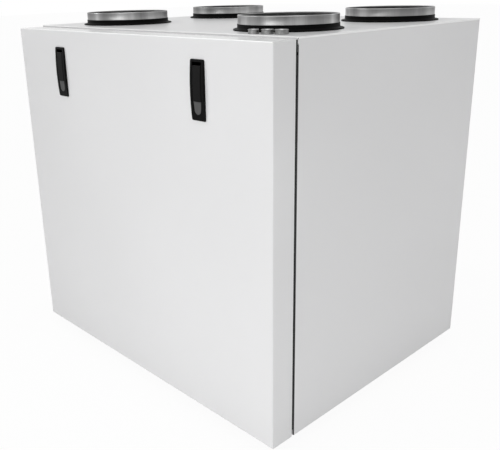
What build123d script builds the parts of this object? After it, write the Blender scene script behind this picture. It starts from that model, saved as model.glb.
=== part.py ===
from build123d import *
import os
from math import cos, radians, sin, sqrt

# A ventilation unit with heat recovery: an insulated sheet-steel case with four round duct
# spigots on top, a counterflow exchanger, two filters, two fans and a bypass inside, and a
# door that tilts forward on hooks at its lower edge. Millimetres. X runs to the right and
# Y to the rear, counted from the door's front face, and Z up from the floor.

# ------------------------------------------------------------------ driving sizes
# Case
case_width = 676.0
case_depth = 500.5
case_sheet = 1.0
frame_flange = 25.0          # returns round the front opening
rear_flange = 20.0
top_mitre = 20.0             # drop of the mitre where a side return meets the top fold
mitre_head = 4.0             # of the fold left above the mitre's inner end
corner_notch = 2.0
foot_height = 20.0
foot_radius = 20.0
foot_inset = 80.0
# Door
door_depth = 45.0
door_sheet = 1.0
door_step = 3.0              # the case top stands this far above the door top
door_gap = 4.5
door_return = 14.0
seal_width = 8.0
seal_inset = 1.2             # from the sides
seal_drop = 4.5              # from the door top
seal_corner = 5.0
# Ducts
duct_radius = 79.5           # outside of a spigot for a 160 mm duct
duct_sheet = 0.8
duct_swage = 1.0             # the spigot widens by this where it leaves its collar
spigot_height = 23.0
spigot_sink = 40.0
spigot_inset = 99.0          # spigot centre in from a side's foam
spigot_front_y = 171.5
spigot_rear_inset = 73.0
collar_height = 9.5
collar_wall = 1.45
collar_foot = 8.0
# Foam
foam_wall = 25.0
foam_roof = 44.0
sleeve_wall = 12.8            # foam ring round a spigot, in the roof
divider_wall = 20.0
lower_chamber = 159.0        # floor foam up to the exchanger
rib_half = 12.5
shelf_wall = 24.0
# Exchanger
core_flat = 116.0            # width of the flat top and bottom
core_rise = 125.0            # height and run of the four sloped faces
core_length = 250.0
core_front_y = 55.5
cap_wall = 2.0
channel_count = 18
channel_width = 6.0
channel_depth = 9.0
# Filters
filter_lift = 25.0           # above the exchanger's top
filter_height = 25.0
filter_wall = 4.0
filter_groove = 6.0
filter_tab = 60.0            # length of the pull tab
pleat_count = 14
pleat_wall = 1.6
# Fans
fan_inset = 142.0
fan_rise = 129.0
scroll_radius = 98.0
scroll_step = 8.0
scroll_wall = 2.0
scroll_depth = 100.0
scroll_outlet = 128.0
wheel_radius = 90.0
wheel_depth = 62.0
wheel_gap = 6.0
blade_count = 20
blade_wall = 1.5
blade_run = 17.0
eye_radius = 62.0
cone_radius = 57.0
inlet_radius = 65.0
motor_radius = 40.0
motor_arm = 25.0             # reach of an arm beyond the can
motor_arm_width = 16.0
shaft_radius = 5.0
# Bypass
flap_half = 47.0
flap_wall = 3.0
flap_shaft = 4.0
bypass_depth = 32.0
bypass_wall = 6.25
bypass_reach = 108.0         # of the channel, up and down from the flap's shaft
actuator_depth = 35.0
actuator_width = 40.0
actuator_height = 60.0
# Controls
control_width = 95.0
control_depth = 38.0
control_height = 90.0
control_lift = 5.0           # above the filters
control_wall = 2.5
board_wall = 1.6
board_gap = 1.0              # from the box's walls
board_sink = 8.0             # of the board's face from the box's rear
post_inset = 12.0
post_radius = 3.0
transformer_width = 30.0
transformer_height = 28.0
transformer_depth = 20.0
transformer_inset = 6.0      # from the board's edges
relay_width = 10.0
relay_height = 22.0
relay_depth = 14.0
relay_pitch = 14.0
relay_inset = 8.0            # from the board's lower edge and from the transformer
capacitor_radius = 4.0
capacitor_depth = 12.0
capacitor_rise = 42.0        # above the board's lower edge
gland_radii = (8.1, 9.2, 10.0)
gland_wall = 3.6
gland_step = 1.6             # the head is this much wider than its hole
gland_height = 6.7
gland_pitch = 21.0
gland_skew = 6.5             # each one stands this much further back than the one before
gland_inset = 49.0           # middle gland in from the side foam
gland_y = 70.0
# Condensate
tray_height = 18.0
tray_wall = 2.0
drain_inset = 62.0
drain_y = 200.0
drain_radius = 10.0
drain_bore = 8.0
drain_step = 0.6             # the stub is thicker by this below the base
drain_clear = 5.0            # the stub ends this far above the floor
# Door hooks
hook_x = 220.0
hook_width = 30.0
hook_wall = 3.0
hook_drop = 7.0              # of the plate below the rod's centre
hook_rise = 37.0
rod_radius = 4.0
rod_y = 12.0
rod_rise = 10.0
ear_wall = 3.0
ear_radius = 6.0
# Latches
latch_inset = 147.0          # from a side of the case
latch_drop = 30.0
bezel_width = 29.5
bezel_height = 89.5
bezel_edge = 2.1
bezel_crown = 2.4
bezel_rim = 3.7              # above the opening
slot_height = 5.3            # free above the lever
well_width = 19.8
well_depth = 14.0
well_wall = 1.5
scoop_width = 17.5
scoop_height = 19.5
scoop_depth = 1.5             # below the bezel at the lever's lower end
lever_width = 17.5
lever_height = 52.5
lever_wall = 3.0
lever_crown = 1.2
pin_radius = 2.0
pin_y = 3.5
pin_drop = 5.2
boss_radius = 4.5
arm_width = 8.0
arm_height = 8.0
nose_wall = 4.0
nose_rise = 7.8
nose_clear = 1.2             # nose top to the keeper's lower edge
keeper_wall = 2.5
keeper_width = 32.0
rail_wall = 1.5
rail_height = 35.0
# Probes and screws
probe_radius = 3.0
probe_length = 50.0
probe_seat = 10.8
probe_drop = 40.0
probe_inset = 60.0
probe_rise = 260.0           # rear probes above the fans' shafts
probe_step = 30.0
strap_reach = 45.0
strap_foot = 14.0
strap_bulge = 3.5
strap_wall = 1.2
strap_width = 25.0
screw_end = 50.0             # first and last screw in from the panel's ends
screw_radius = 1.9
screw_head = 4.0
screw_head_height = 2.2
# Clearances
fit = 0.3                    # between pieces that are pushed together
run = 0.05                   # round a shaft or pin that turns
joint_gap = 0.3              # between a seal and the face it closes on

# ------------------------------------------------------------------ levels worked out
half = case_width / 2
inside = half - case_sheet
cavity = inside - foam_wall
front_y = door_depth + door_gap
skin_y = front_y + case_sheet
back_y = front_y + case_depth
back_foam_y = back_y - 2 * case_sheet
rear_y = back_foam_y - foam_wall
base_z = foot_height
floor_z = base_z + case_sheet + foam_wall
core_z = floor_z + lower_chamber + core_rise
filter_z = core_z + core_rise + filter_lift
ceiling_z = filter_z + filter_height + control_lift + control_height
deck_z = ceiling_z + foam_roof
top_z = deck_z + case_sheet
door_top = top_z - door_step
door_back = door_depth
seal_y = front_y - joint_gap
strip_y = skin_y - joint_gap
bend = 1.5 * case_sheet
core_half = core_flat / 2 + core_rise
core_back_y = core_front_y + core_length
divider_y = core_back_y + bypass_depth + 2 * bypass_wall
spigot_x = cavity - spigot_inset
spigot_rear_y = rear_y - spigot_rear_inset
fan_x = cavity - fan_inset
fan_z = floor_z + fan_rise
gland_x = cavity - gland_inset
drain_x = -cavity + drain_inset
rib_y = divider_y + divider_wall
rod_z = base_z + rod_rise
latch_x = half - latch_inset
bezel_top = door_top - latch_drop
bezel_bottom = bezel_top - bezel_height
lever_top = bezel_top - bezel_rim - slot_height
lever_bottom = lever_top - lever_height
pin_z = lever_top - pin_drop
rail_back_y = skin_y + rail_wall
keeper_back_y = rail_back_y + keeper_wall
nose_y = keeper_back_y + fit + 0.1
nose_top = pin_z + nose_rise
keeper_z = nose_top + nose_clear
control_x = cavity - fit - control_width
control_y = skin_y + 1.0 + control_wall
board_y = control_y + control_depth - board_sink
scroll_back_y = rib_y + scroll_depth
motor_y = scroll_back_y - scroll_wall
wheel_y = rib_y + wheel_gap
signs = (-1, 1)


# ------------------------------------------------------------------ shape helpers
def block(x, y, z):
    """A box from its (low, high) pairs along X, Y and Z."""
    return Pos(sum(x) / 2, sum(y) / 2, sum(z) / 2) * Box(x[1] - x[0], y[1] - y[0], z[1] - z[0])


def along_x(section, x0, x1):
    """A (y, z) section drawn out from x0 to x1."""
    return extrude(Plane.YZ.offset(x0) * section, amount=x1 - x0, dir=(1, 0, 0))


def along_y(section, y0, y1):
    """An (x, z) section drawn out from y0 to y1."""
    return extrude(Plane.XZ.offset(-y0) * section, amount=y1 - y0, dir=(0, 1, 0))


def along_z(section, z0, z1):
    """An (x, y) section drawn out from z0 to z1."""
    return extrude(Plane.XY.offset(z0) * section, amount=z1 - z0, dir=(0, 0, 1))


def turned(section, x, y):
    """A (radius, height) section turned about an upright axis."""
    return Pos(x, y, 0) * revolve(Plane.XZ * section, Axis.Z)


def turned_y(section, x, z):
    """A (radius, depth) section turned about an axis that runs to the rear."""
    return Pos(x, 0, z) * revolve(Plane.XY * section, Axis.Y)


def folded(points, wall):
    """Section of a sheet folded along points, its wall on the left of the path."""
    path = FilletPolyline(*points, radius=1.5 * wall)
    return make_face(offset(path, amount=wall, side=Side.LEFT, closed=True))


def mirrored(shape):
    return mirror(shape, about=Plane.YZ)


def rounded_block(x, y, z, radius):
    """A block with its upright edges rounded."""
    body = block(x, y, z)
    return fillet(body.edges().filter_by(Axis.Z), radius)


# ------------------------------------------------------------------ case sheet metal
def base_panel():
    section = folded([(front_y, base_z + frame_flange), (front_y, base_z), (back_foam_y, base_z)], case_sheet)
    panel = along_x(section, -inside, inside)
    for sign in signs:
        x = sorted((sign * (cavity - fit), sign * half))
        panel -= block(x, (front_y - 1, skin_y + fit + bend), (base_z - 1, base_z + frame_flange + 1))
    hole = Pos(drain_x, drain_y) * Circle(drain_radius - drain_step + fit)
    return panel - along_z(hole, base_z - 1, base_z + case_sheet + 1)


def side_panel():
    """The right side: one sheet with a front and a rear return."""
    path = [(half - frame_flange, front_y), (half, front_y), (half, back_y), (half - rear_flange, back_y)]
    panel = along_z(folded(path, case_sheet), base_z, deck_z)
    inner = half - frame_flange - 1
    mitre = Polygon((inside, mitre_z(inside)), (inner, mitre_z(inner)), (inner, top_z + 1),
                    (inside, top_z + 1), align=None)
    panel -= along_y(mitre, front_y - 1, skin_y + bend)
    panel -= block((half - frame_flange, half + 1), (front_y - 1, front_y + corner_notch / 2 + 0.5),
                   (deck_z - corner_notch, deck_z + 1))
    for z in screw_levels():
        panel -= along_y(Pos(half - rear_flange / 2, z) * Circle(screw_radius + run), back_y - 2, back_y + 1)
    return panel


def back_panel():
    reach = inside - bend / 2
    panel = block((-reach, reach), (back_foam_y, back_y - case_sheet), (base_z, deck_z))
    for sign in signs:
        for z in screw_levels():
            hole = Pos(sign * (half - rear_flange / 2), z) * Circle(screw_radius + run)
            panel -= along_y(hole, back_foam_y - 1, back_y)
    return panel


def mitre_z(x):
    """Height of the seam between a side's front return and the top's corner tab."""
    return top_z - top_mitre + (inside - x) * (top_mitre - mitre_head) / frame_flange


def top_panel():
    """The top sheet, its front edge folded down, with a corner tab over each side's return."""
    section = folded([(back_y, top_z), (front_y, top_z), (front_y, top_z - frame_flange)], case_sheet)
    panel = along_x(section, -half, half)
    low = top_z - frame_flange - 1
    inner = half - frame_flange - fit
    outer = inside - fit
    below = Polygon((inner, low), (inner, mitre_z(inner) + 2 * fit), (outer, mitre_z(outer) + 2 * fit),
                    (outer, deck_z), (half + 1, deck_z), (half + 1, low), align=None)
    corner = along_y(below, front_y - 1, skin_y + bend)
    panel = panel.cut(corner, mirrored(corner))
    for x, y in spigot_places():
        panel -= along_z(Pos(x, y) * Circle(duct_radius - duct_swage + fit), deck_z - 1, top_z + 1)
    return panel.cut(*gland_holes(deck_z - 1, top_z + 1))


def front_rail():
    rail = block((-inside + frame_flange, inside - frame_flange), (skin_y, rail_back_y),
                 (deck_z - rail_height, deck_z - bend / 2))
    return fillet(rail.edges().filter_by(Axis.Y).group_by(Axis.Z)[0], rail_height / 6)


def latch_keepers():
    """A plate on the back of the rail for each latch nose to stand behind."""
    plate = block((latch_x - keeper_width / 2, latch_x + keeper_width / 2), (rail_back_y, keeper_back_y),
                  (keeper_z, deck_z - fit))
    plate = fillet(plate.edges().filter_by(Axis.Y), 2 * keeper_wall)
    return plate + mirrored(plate)


def door_rods():
    """Two brackets on the base's front fold, each with a rod between two ears."""
    inner = hook_width / 2 + fit
    ear = make_face(Polyline((front_y, rod_z - ear_radius), (rod_y, rod_z - ear_radius)) +
                    ThreePointArc((rod_y, rod_z - ear_radius), (rod_y - ear_radius, rod_z),
                                  (rod_y, rod_z + ear_radius)) +
                    Polyline((rod_y, rod_z + ear_radius), (front_y, rod_z + ear_radius),
                             (front_y, rod_z - ear_radius)))
    bracket = along_x(ear, -inner - ear_wall, -inner) + along_x(ear, inner, inner + ear_wall)
    bracket += along_x(Pos(rod_y, rod_z) * Circle(rod_radius), -inner - ear_wall, inner + ear_wall)
    bracket += block((-inner, inner), (front_y - ear_wall, front_y), (rod_z - ear_radius, rod_z + ear_radius))
    return Pos(-hook_x, 0, 0) * bracket + Pos(hook_x, 0, 0) * bracket


def feet():
    foot = loft([Circle(foot_radius - 3), Plane.XY.offset(foot_height) * Circle(foot_radius)])
    rows = (front_y + foot_inset, back_y - foot_inset)
    return Compound([Pos(sign * (half - foot_inset), y, 0) * foot for sign in signs for y in rows])


def screw_levels():
    """Heights of the four screws down each rear return."""
    step = (deck_z - base_z - 2 * screw_end) / 3
    return [base_z + screw_end + row * step for row in range(4)]


def panel_screws():
    screws = []
    for sign in signs:
        for z in screw_levels():
            shank = Rectangle(screw_radius, 2 * case_sheet, align=(Align.MIN, Align.MIN))
            head = Rectangle(screw_head, screw_head_height, align=(Align.MIN, Align.MIN))
            section = Pos(0, back_foam_y) * (shank + Pos(0, 2 * case_sheet) * head)
            screws.append(turned_y(section, sign * (half - rear_flange / 2), z))
    return Compound(screws)


# ------------------------------------------------------------------ duct connections
def spigot_places():
    return [(sign * spigot_x, y) for y in (spigot_front_y, spigot_rear_y) for sign in signs]


def spigot(x, y):
    """A sheet tube, swaged out above the collar, with a small turned lip at the top."""
    neck, rim = top_z + collar_height, top_z + spigot_height
    outer = duct_radius - duct_swage
    low = deck_z - spigot_sink
    inner = duct_radius - duct_sheet
    turned_in = rim - 1.5 * duct_sheet
    section = Polygon((outer - duct_sheet, low), (outer, low), (outer, neck), (duct_radius, neck),
                      (duct_radius, rim), (outer - duct_sheet, rim), (outer - duct_sheet, turned_in),
                      (inner, turned_in), (inner, neck + duct_sheet), (outer - duct_sheet, neck + duct_sheet),
                      align=None)
    return turned(section, x, y)


def collar(x, y):
    """A rubber collar: a thin sleeve over the spigot, flaring to a rounded foot."""
    inner = duct_radius - duct_swage + fit / 2
    sleeve = inner + collar_wall
    foot = inner + collar_foot
    neck = top_z + collar_height
    outline = Polygon((inner, top_z), (foot, top_z), (foot, top_z + 1.8), (sleeve + 1.5, top_z + 2.6),
                      (sleeve, top_z + 4.2), (sleeve, neck), (inner, neck), align=None)
    return turned(outline, x, y)


def gland_places():
    """The three glands' X, Y and radius, in a slanting row."""
    return [(gland_x + k * gland_pitch, gland_y + k * gland_skew, radius)
            for k, radius in zip((-1, 0, 1), gland_radii)]


def gland_holes(low, high):
    """Holes for the glands' stems between two heights."""
    return [along_z(Pos(x, y) * Circle(radius - gland_step), low, high) for x, y, radius in gland_places()]


def cable_glands():
    """Three bushes: a head on the top panel and a stem that ends in the control box."""
    glands = []
    low = ceiling_z - control_wall - 2.0
    for x, y, radius in gland_places():
        bore = radius - gland_wall
        head = Pos(bore, top_z) * Rectangle(gland_wall, gland_height, align=(Align.MIN, Align.MIN))
        head = chamfer(head.vertices().group_by(Axis.Y)[-1].sort_by(Axis.X)[-1], 0.8)
        stem = Pos(bore, low) * Rectangle(gland_wall - gland_step - fit, top_z - low,
                                          align=(Align.MIN, Align.MIN))
        glands.append(turned(head + stem, x, y))
    return Compound(glands)


# ------------------------------------------------------------------ foam mouldings
def filter_slot(low, high):
    """Room for a filter's edge in a foam face."""
    return block((low, high), (skin_y - 1, core_back_y), (filter_z - fit, filter_z + filter_height + fit))


def foam_side():
    side = block((cavity, inside), (skin_y, back_foam_y), (base_z + case_sheet, ceiling_z))
    side = fillet(side.edges().filter_by(Axis.Z).group_by(Axis.X)[-1], bend)
    return side - filter_slot(cavity - 1, cavity + filter_groove)


def foam_back():
    return block((-cavity, cavity), (rear_y, back_foam_y), (base_z + case_sheet, ceiling_z))


def foam_base():
    slab = block((-cavity, cavity), (skin_y, rear_y), (base_z + case_sheet, floor_z))
    slab = fillet(slab.edges().filter_by(Axis.X).group_by(Axis.Z)[0].sort_by(Axis.Y)[0], bend)
    bore = Pos(drain_x, drain_y) * Circle(drain_radius - drain_step + fit)
    return slab - along_z(bore, base_z, floor_z + 1)


def sleeve_bore():
    return duct_radius - duct_swage + fit


def foam_top():
    """The roof, moulded in four blocks, one over each chamber."""
    ridge = (spigot_front_y + spigot_rear_y) / 2
    hole = sleeve_bore() + sleeve_wall
    recess = nose_y + nose_wall + 4.0
    blocks = []
    for x, y in spigot_places():
        sign = 1 if x > 0 else -1
        depth = (rail_back_y, ridge - fit / 2) if y < ridge else (ridge + fit / 2, back_foam_y)
        slab = block(sorted((sign * fit / 2, sign * inside)), depth, (ceiling_z, deck_z))
        slab -= along_z(Pos(x, y) * Circle(hole), ceiling_z - 1, deck_z + 1)
        span = sorted(sign * (latch_x + side * (keeper_width / 2 + fit)) for side in signs)
        slab -= block(span, (rail_back_y - 1, recess), (ceiling_z - 1, deck_z + 1))
        blocks.append(slab.cut(*gland_holes(ceiling_z - 1, deck_z + 1)))
    return Compound(blocks)


def foam_sleeves():
    """Rings that hold the spigots in the roof's blocks."""
    ring = Circle(sleeve_bore() + sleeve_wall - fit / 2) - Circle(sleeve_bore())
    return Compound([along_z(Pos(x, y) * ring, ceiling_z, deck_z) for x, y in spigot_places()])


def foam_divider():
    """The wall before the fans, with an inlet for each and a hole for the flap's shaft."""
    wall = block((-cavity, cavity), (divider_y, rib_y), (floor_z, ceiling_z))
    for sign in signs:
        wall -= along_y(Pos(sign * fan_x, fan_z) * Circle(inlet_radius), divider_y - 1, rib_y + 1)
    return wall - along_y(Pos(0, core_z) * Circle(flap_shaft + 2 * fit), divider_y - 1, rib_y + 1)


def fan_rib():
    """The wall between the two fan bays, cut away round the flap's actuator."""
    wall = block((-rib_half, rib_half), (rib_y, rear_y), (floor_z, ceiling_z))
    wall -= block((-rib_half - 1, rib_half + 1), (rib_y - 1, rib_y + actuator_depth + fit),
                  (core_z - actuator_height / 2 - fit, core_z + actuator_height / 2 + fit))
    for z in probe_levels()[1:]:
        wall -= along_x(Pos(rear_y - foam_wall, z) * Circle(probe_radius + run), -rib_half - 1, rib_half + 1)
    return wall


def foam_partitions():
    """Blocks above and below the exchanger and the rib between the fans, which part the two sides."""
    upper = block((-core_flat / 2, core_flat / 2), (skin_y, divider_y), (core_z + core_rise + fit, ceiling_z))
    for sign in signs:
        slot = sorted((sign * (core_flat / 2 - filter_groove), sign * (core_flat / 2 + 1)))
        upper -= filter_slot(*slot)
    upper -= along_x(Pos(probe_front_y(), probe_levels()[0]) * Circle(probe_radius + run),
                     -core_flat / 2 - 1, core_flat / 2 + 1)
    lower = block((-core_flat / 2, core_flat / 2), (skin_y, divider_y), (floor_z, core_z - core_rise - fit))
    return Compound([upper, lower, fan_rib()])


def hexagon(grow=0.0):
    """The exchanger's outline, grown outward by grow."""
    side = Polygon((core_flat / 2, core_rise), (core_half, 0), (core_flat / 2, -core_rise),
                   (-core_flat / 2, -core_rise), (-core_half, 0), (-core_flat / 2, core_rise), align=None)
    if grow:
        side = offset(side, amount=grow, kind=Kind.INTERSECTION)
    return Pos(0, core_z) * side


def foam_shelves():
    """Side shelves with a notch that carries the exchanger's corner, and the filters' rear rests."""
    shelf = block((core_half - shelf_wall / 2, cavity), (skin_y, divider_y),
                  (core_z - shelf_wall / 2, core_z + shelf_wall / 2))
    shelf -= along_y(hexagon(fit), skin_y - 1, divider_y + 1)
    rest = block((core_flat / 2, cavity), (core_back_y, divider_y), (filter_z - shelf_wall, filter_z))
    return Compound([shelf, rest, mirrored(shelf), mirrored(rest)])


def bypass_block():
    """Foam behind the exchanger, with a channel that joins the upper right and lower left chambers."""
    body = along_y(hexagon(), core_back_y + fit, divider_y)
    middle = (core_back_y + divider_y) / 2
    y = (middle - bypass_depth / 2, middle + bypass_depth / 2)
    channel = flap_half + 1.0
    window = core_half
    body -= block((-channel, channel), y, (core_z - bypass_reach, core_z + bypass_reach))
    body -= block((channel - 1, window), y, (core_z + bypass_reach / 2, core_z + bypass_reach))
    body -= block((-window, 1 - channel), y, (core_z - bypass_reach, core_z - bypass_reach / 2))
    return body - along_y(Pos(0, core_z) * Circle(flap_shaft + run), y[0] - 4.0, divider_y + 1)


# ------------------------------------------------------------------ exchanger and filters
def exchanger_core():
    """Stacked plates: channels open in turn on one pair of sloped faces and on the other."""
    low_y = core_front_y + cap_wall
    length = core_length - 2 * cap_wall
    core = along_y(hexagon(), low_y, low_y + length)
    pitch = length / channel_count
    slope = core_rise * sqrt(2) - 24.0
    cutter = Box(slope, channel_width, 2 * channel_depth)
    cuts = []
    for step in range(channel_count):
        for corner, shift in ((45, 0.25), (-45, 0.75)):
            y = low_y + (step + shift) * pitch
            place = core_flat / 2 + core_rise / 2
            for sign in signs:
                x = sign * place
                z = sign * core_rise / 2 * (1 if corner == 45 else -1)
                cuts.append(Pos(x, y, core_z + z) * Rot(0, corner, 0) * cutter)
    return core.cut(*cuts)


def exchanger_caps():
    """A shallow folded pan over each end of the stack."""
    cap = along_y(hexagon(), core_front_y, core_front_y + cap_wall)
    return Compound([cap, Pos(0, core_length - cap_wall, 0) * cap])


def exchanger_strap():
    """A webbing loop on the front cap to pull the exchanger out by."""
    back = core_front_y - strap_wall / 2
    low, high = core_z - strap_reach, core_z + strap_reach
    path = Wire([Line((back, low - strap_foot), (back, low)),
                 ThreePointArc((back, low), (back - strap_bulge, core_z), (back, high)),
                 Line((back, high), (back, high + strap_foot))])
    section = make_face(path.offset_2d(strap_wall / 2, kind=Kind.INTERSECTION))
    strap = along_x(section, -strap_width / 2, strap_width / 2)
    return strap & block((-strap_width, strap_width), (0, core_front_y), (0, top_z))


def filter_frame():
    """The right filter's frame, open above and below, with a pull tab at the front."""
    low_x = core_flat / 2 - filter_groove + fit
    high_x = cavity + filter_groove - fit
    y = (core_front_y, core_back_y - fit)
    z = (filter_z, filter_z + filter_height)
    frame = block((low_x, high_x), y, z)
    frame -= block((low_x + filter_wall, high_x - filter_wall), (y[0] + filter_wall, y[1] - filter_wall),
                   (z[0] - 1, z[1] + 1))
    tab = Pos((low_x + high_x) / 2, filter_z + filter_height / 2) * SlotOverall(filter_tab, filter_height - 8)
    return frame + along_y(tab, y[0] - 1.5, y[0])


def filter_media():
    """A sheet folded into pleats that fill the frame."""
    low_x = core_flat / 2 - filter_groove + fit + filter_wall + fit
    high_x = cavity + filter_groove - fit - filter_wall - fit
    y = (core_front_y + filter_wall + fit, core_back_y - filter_wall - 2 * fit)
    pitch = (high_x - low_x) / pleat_count
    crest = filter_height - 4.0
    upper, lower = [], []
    for step in range(pleat_count):
        x = low_x + step * pitch
        upper += [(x, crest), (x + pitch / 2, pleat_wall * 2)]
        lower += [(x, crest - pleat_wall * 2), (x + pitch / 2, 0)]
    upper.append((high_x, crest))
    lower.append((high_x, crest - pleat_wall * 2))
    section = Polygon(*upper, *reversed(lower), align=None)
    return along_y(Pos(0, filter_z + 2.0) * section, *y)


# ------------------------------------------------------------------ fans
def scroll_outline():
    """The scroll's section: four quarter arcs that grow, then an outlet that points up."""
    radius = scroll_radius
    centre = Vector(fan_x, fan_z)
    edges = []
    start = centre + Vector(0, radius)
    angle = 90
    while angle < 360:
        edges.append(CenterArc(centre, radius, angle, 90))
        angle += 90
        heading = Vector(cos(radians(angle)), sin(radians(angle)))
        end = centre + heading * radius
        centre = centre - heading * scroll_step
        radius += scroll_step
    lip = fan_z + scroll_outlet
    edges += Polyline((end.X, end.Y), (end.X, lip), (start.X, lip), (start.X, start.Y)).edges()
    return make_face(edges)


def scroll_housing():
    """The right fan's housing: a shell with an inlet in front and an open outlet on top."""
    outline = scroll_outline()
    inner = offset(outline, amount=-scroll_wall)
    body = along_y(outline, rib_y, scroll_back_y)
    body -= along_y(inner, rib_y + scroll_wall, scroll_back_y - scroll_wall)
    lip = fan_z + scroll_outlet
    body -= block((fan_x + scroll_wall, fan_x + scroll_radius),
                  (rib_y + scroll_wall, scroll_back_y - scroll_wall), (lip - 2 * scroll_wall, lip + 1))
    return body - along_y(Pos(fan_x, fan_z) * Circle(inlet_radius), rib_y - 1, rib_y + scroll_wall + 1)


def inlet_cones():
    """A bell-mouthed ring in each inlet, its flange on the divider's front face."""
    wall = 1.5
    reach = inlet_radius + 10.0
    section = Polygon((cone_radius - wall, wheel_y + 2.0), (cone_radius, wheel_y + 2.0),
                      (cone_radius + wall, divider_y), (reach, divider_y), (reach, divider_y - wall),
                      (cone_radius, divider_y - wall), align=None)
    return Compound([turned_y(section, sign * fan_x, fan_z) for sign in signs])


def fan_motor():
    """The right fan's motor, bolted to the housing's rear wall: a can, three arms and the shaft."""
    can = wheel_y + wheel_depth + 3.0
    body = along_y(Pos(fan_x, fan_z) * Circle(motor_radius), can, motor_y)
    body = chamfer(body.edges().group_by(Axis.Y)[0], 2.5)
    arm = along_y(Pos(fan_x + motor_radius, fan_z) * Rectangle(2 * motor_arm, motor_arm_width),
                  motor_y - 2 * scroll_wall, motor_y)
    for turn in (90, 210, 330):
        body += Pos(fan_x, 0, fan_z) * Rot(0, turn, 0) * Pos(-fan_x, 0, -fan_z) * arm
    return body + along_y(Pos(fan_x, fan_z) * Circle(shaft_radius), wheel_y + wheel_depth / 2, can + 1)


def impeller():
    """The right fan's wheel: a ring and a back plate joined by curved blades, with a hub cup."""
    back_z = wheel_y + wheel_depth
    plate = 2.0
    ring = along_y(Circle(wheel_radius) - Circle(eye_radius + 4), wheel_y, wheel_y + plate)
    disc = along_y(Circle(wheel_radius), back_z - plate, back_z)
    hub = along_y(Circle(motor_radius - 4), wheel_y + wheel_depth / 2 - 4, back_z)
    hub = chamfer(hub.edges().group_by(Axis.Y)[0], 6)
    inner = wheel_radius - blade_run
    curve = ThreePointArc((inner, 0), ((inner + wheel_radius) / 2, 3.5), (wheel_radius - 0.5, 12.0))
    blade = make_face(offset(curve, amount=blade_wall, side=Side.LEFT, closed=True))
    blade = along_y(blade, wheel_y + plate, back_z - plate)
    blades = [Rot(0, step * 360 / blade_count, 0) * blade for step in range(blade_count)]
    wheel = ring.fuse(disc, hub, *blades)
    wheel -= along_y(Circle(shaft_radius + run), wheel_y + wheel_depth / 2 - 1, back_z + 1)
    return Pos(fan_x, 0, fan_z) * wheel


# ------------------------------------------------------------------ bypass flap
def bypass_flap():
    """A plate on a shaft across the channel; the shaft runs back into the actuator."""
    middle = (core_back_y + divider_y) / 2
    reach = bypass_depth / 2
    plate = block((-flap_half, flap_half), (middle - reach + 0.6, middle + reach - 0.6),
                  (core_z - flap_wall / 2, core_z + flap_wall / 2))
    plate = fillet(plate.edges().filter_by(Axis.Y), flap_wall / 2.1)
    shaft = along_y(Pos(0, core_z) * Circle(flap_shaft), middle - reach - 3.5, rib_y + actuator_depth - 5.0)
    return plate + shaft


def bypass_actuator():
    body = rounded_block((-actuator_width / 2, actuator_width / 2), (rib_y, rib_y + actuator_depth),
                        (core_z - actuator_height / 2, core_z + actuator_height / 2), 4)
    return body - along_y(Pos(0, core_z) * Circle(flap_shaft + run), rib_y - 1, rib_y + actuator_depth - 4.0)


# ------------------------------------------------------------------ condensate tray
def condensate_tray():
    """A pan on the lower left floor, with a stub that passes down through foam and base."""
    x = (-cavity + fit, -core_flat / 2 - fit)
    y = (skin_y + fit, divider_y - fit)
    z = (floor_z, floor_z + tray_height)
    pan = rounded_block(x, y, z, 8)
    pan -= rounded_block((x[0] + tray_wall, x[1] - tray_wall), (y[0] + tray_wall, y[1] - tray_wall),
                        (z[0] + tray_wall, z[1] + 1), 8 - tray_wall)
    pan += along_z(Pos(drain_x, drain_y) * Circle(drain_radius - drain_step), base_z - fit,
                   floor_z + tray_wall / 2)
    pan += along_z(Pos(drain_x, drain_y) * Circle(drain_radius), drain_clear, base_z - fit)
    return pan - along_z(Pos(drain_x, drain_y) * Circle(drain_bore), drain_clear - 1, floor_z + tray_wall + 1)


# ------------------------------------------------------------------ controls and probes
def control_box():
    """A moulded box under the glands, open to the front."""
    x = (control_x, control_x + control_width)
    y = (control_y, control_y + control_depth)
    z = (ceiling_z - control_height, ceiling_z)
    box = block(x, y, z)
    box -= block((x[0] + control_wall, x[1] - control_wall), (y[0] - 1, y[1] - control_wall),
                 (z[0] + control_wall, z[1] - control_wall))
    box = box.cut(*gland_holes(z[1] - control_wall - 1, z[1] + 1))
    for dx in (post_inset, control_width - post_inset):
        for dz in (post_inset, control_height - post_inset):
            post = Pos(x[0] + dx, z[0] + dz) * Circle(post_radius)
            box += along_y(post, board_y + board_wall, y[1] - control_wall / 2)
    return box


def control_cover():
    lid = block((control_x, control_x + control_width), (control_y - control_wall, control_y),
                (ceiling_z - control_height, ceiling_z))
    return fillet(lid.edges().group_by(Axis.Y)[0], control_wall / 3)


def circuit_board():
    """The board on its posts, with relays, a transformer, capacitors and the terminal block."""
    low_x = control_x + control_wall + board_gap
    low_z = ceiling_z - control_height + control_wall + board_gap
    width = control_width - 2 * (control_wall + board_gap)
    height = control_height - 2 * control_wall - 10.0
    board = block((low_x, low_x + width), (board_y, board_y + board_wall), (low_z, low_z + height))
    x, z = low_x + transformer_inset, low_z + transformer_inset
    board += block((x, x + transformer_width), (board_y - transformer_depth, board_y),
                   (z, z + transformer_height))
    z = low_z + relay_inset
    for step in range(3):
        left = x + transformer_width + relay_inset + step * relay_pitch
        board += block((left, left + relay_width), (board_y - relay_depth, board_y), (z, z + relay_height))
        capacitor = Pos(left + relay_width / 2, low_z + capacitor_rise) * Circle(capacitor_radius)
        board += along_y(capacitor, board_y - capacitor_depth, board_y)
    return Compound([board, terminal_block()])


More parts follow.
